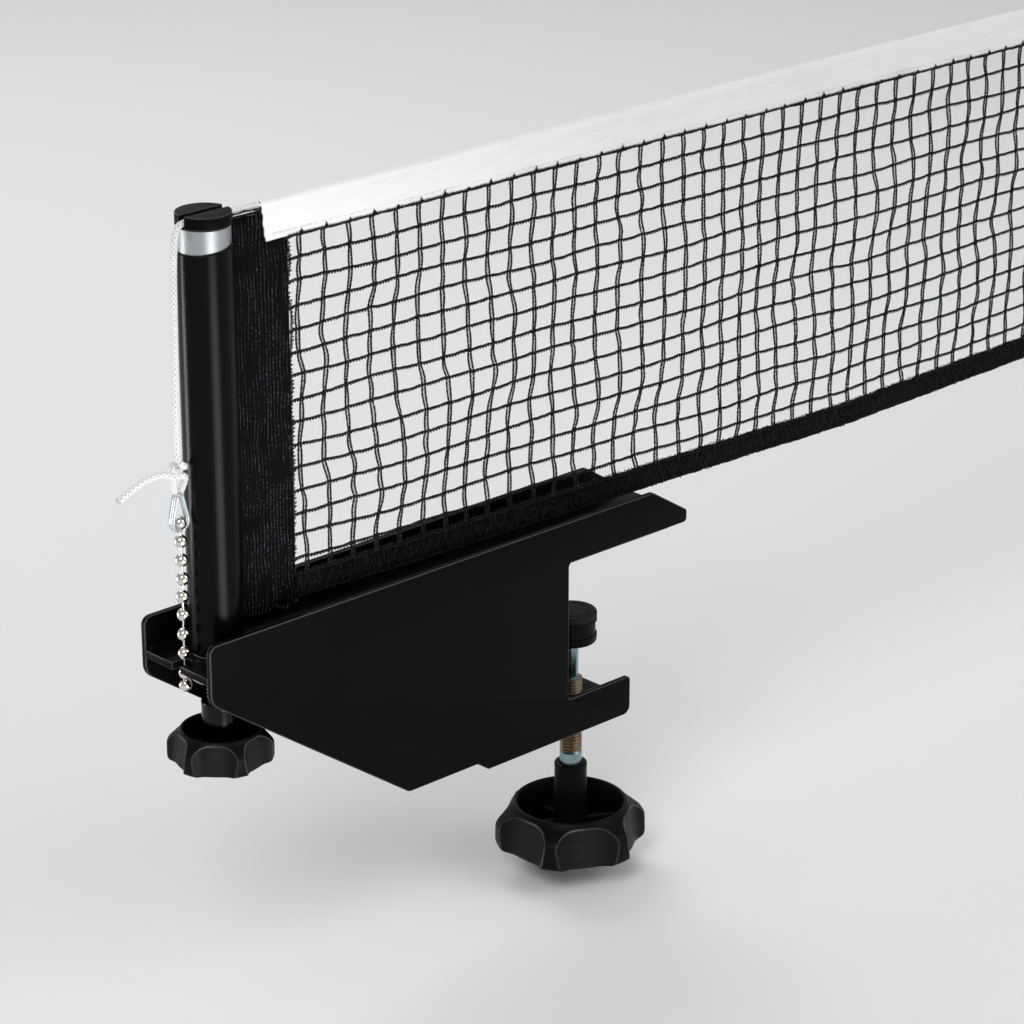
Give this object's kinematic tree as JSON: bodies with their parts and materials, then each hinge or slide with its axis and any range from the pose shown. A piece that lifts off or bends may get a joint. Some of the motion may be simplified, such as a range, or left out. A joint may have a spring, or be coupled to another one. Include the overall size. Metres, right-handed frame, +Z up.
{
  "type": "table tennis net clamp",
  "caption": "Screw clamp that grips a table's edge and carries a height-adjustable net post, with the near stretch of the net tensioned by a cord and bead chain.",
  "frame": {"origin": "on the playing surface at the table's side edge, in the middle plane of the net: the point of the upper jaw pad's underside that stands over the edge", "axes": "+X over the table along the net, +Y across the bracket, +Z up along the post"},
  "size_m": [0.4915, 0.055, 0.2743],
  "materials": {
    "painted_steel": "black powder coat, satin, about 45% gloss",
    "black_rubber": "matt moulded rubber",
    "zinc_steel": "bright zinc plate",
    "black_plastic": "moulded black nylon with a soft gloss",
    "sleeve_plastic": "smooth black plastic, glossy",
    "nickel": "bright nickel plate",
    "clear_plastic": "clear moulded plastic, slightly milky",
    "white_cord": "braided white polyester cord",
    "white_tape": "white woven cotton tape, folded and stitched",
    "net_fabric": "black knitted polyester band with ribs",
    "net_mesh": "black knotless polyester netting"
  },
  "bodies": {
    "bracket": {"side_plate_near": "painted_steel", "side_plate_far": "painted_steel", "upper_web": "painted_steel", "lower_web": "painted_steel", "weld_beads": "painted_steel", "upper_jaw_pad": "black_rubber", "height_nut": "zinc_steel", "post_guide": "zinc_steel", "clamp_nut": "zinc_steel", "bead_chain": "nickel", "chain_clip": "clear_plastic", "cord_knot": "white_cord", "cord_tail": "white_cord", "tension_cord": "white_cord"},
    "post": {"post_tube": "zinc_steel", "post_sleeve": "sleeve_plastic", "post_cap": "black_plastic", "post_plug": "zinc_steel", "net_side_band": "net_fabric", "net_mesh": "net_mesh", "net_top_tape": "white_tape", "net_bottom_hem": "net_fabric", "net_far_band": "net_fabric", "far_loop": "white_cord"},
    "height_screw": {"height_screw": "zinc_steel", "height_knob": "black_plastic", "height_clip": "zinc_steel"},
    "clamp_foot": {"clamp_foot": "black_plastic", "foot_facing": "black_rubber"},
    "clamp_screw": {"clamp_screw": "zinc_steel", "clamp_knob": "black_plastic", "foot_clip": "zinc_steel"}
  },
  "joints": [
    {"name": "post_lift", "type": "slide", "parent": "bracket", "child": "post", "axis": [0, 0, 1], "range_m": [0, 0.00375], "deforming": ["tension_cord"]},
    {"name": "height_knob_turn", "type": "hinge", "parent": "post", "child": "height_screw", "pos_m": [-0.143, 0, 0], "axis": [0, 0, 1], "range_deg": [0, 1090]},
    {"name": "clamp_travel", "type": "slide", "parent": "bracket", "child": "clamp_foot", "axis": [0, 0, 1], "range_m": [-0.0101, 0.0176]},
    {"name": "clamp_knob_turn", "type": "hinge", "parent": "clamp_foot", "child": "clamp_screw", "pos_m": [0.016, 0, 0], "axis": [0, 0, 1], "range_deg": [-2880, 5040]}
  ],
  "couplings": [
    {"joint": "height_knob_turn", "follows": "post_lift", "rad_per_m": 5026.5},
    {"joint": "clamp_travel", "follows": "clamp_knob_turn", "m_per_rad": 0.00019894}
  ]
}
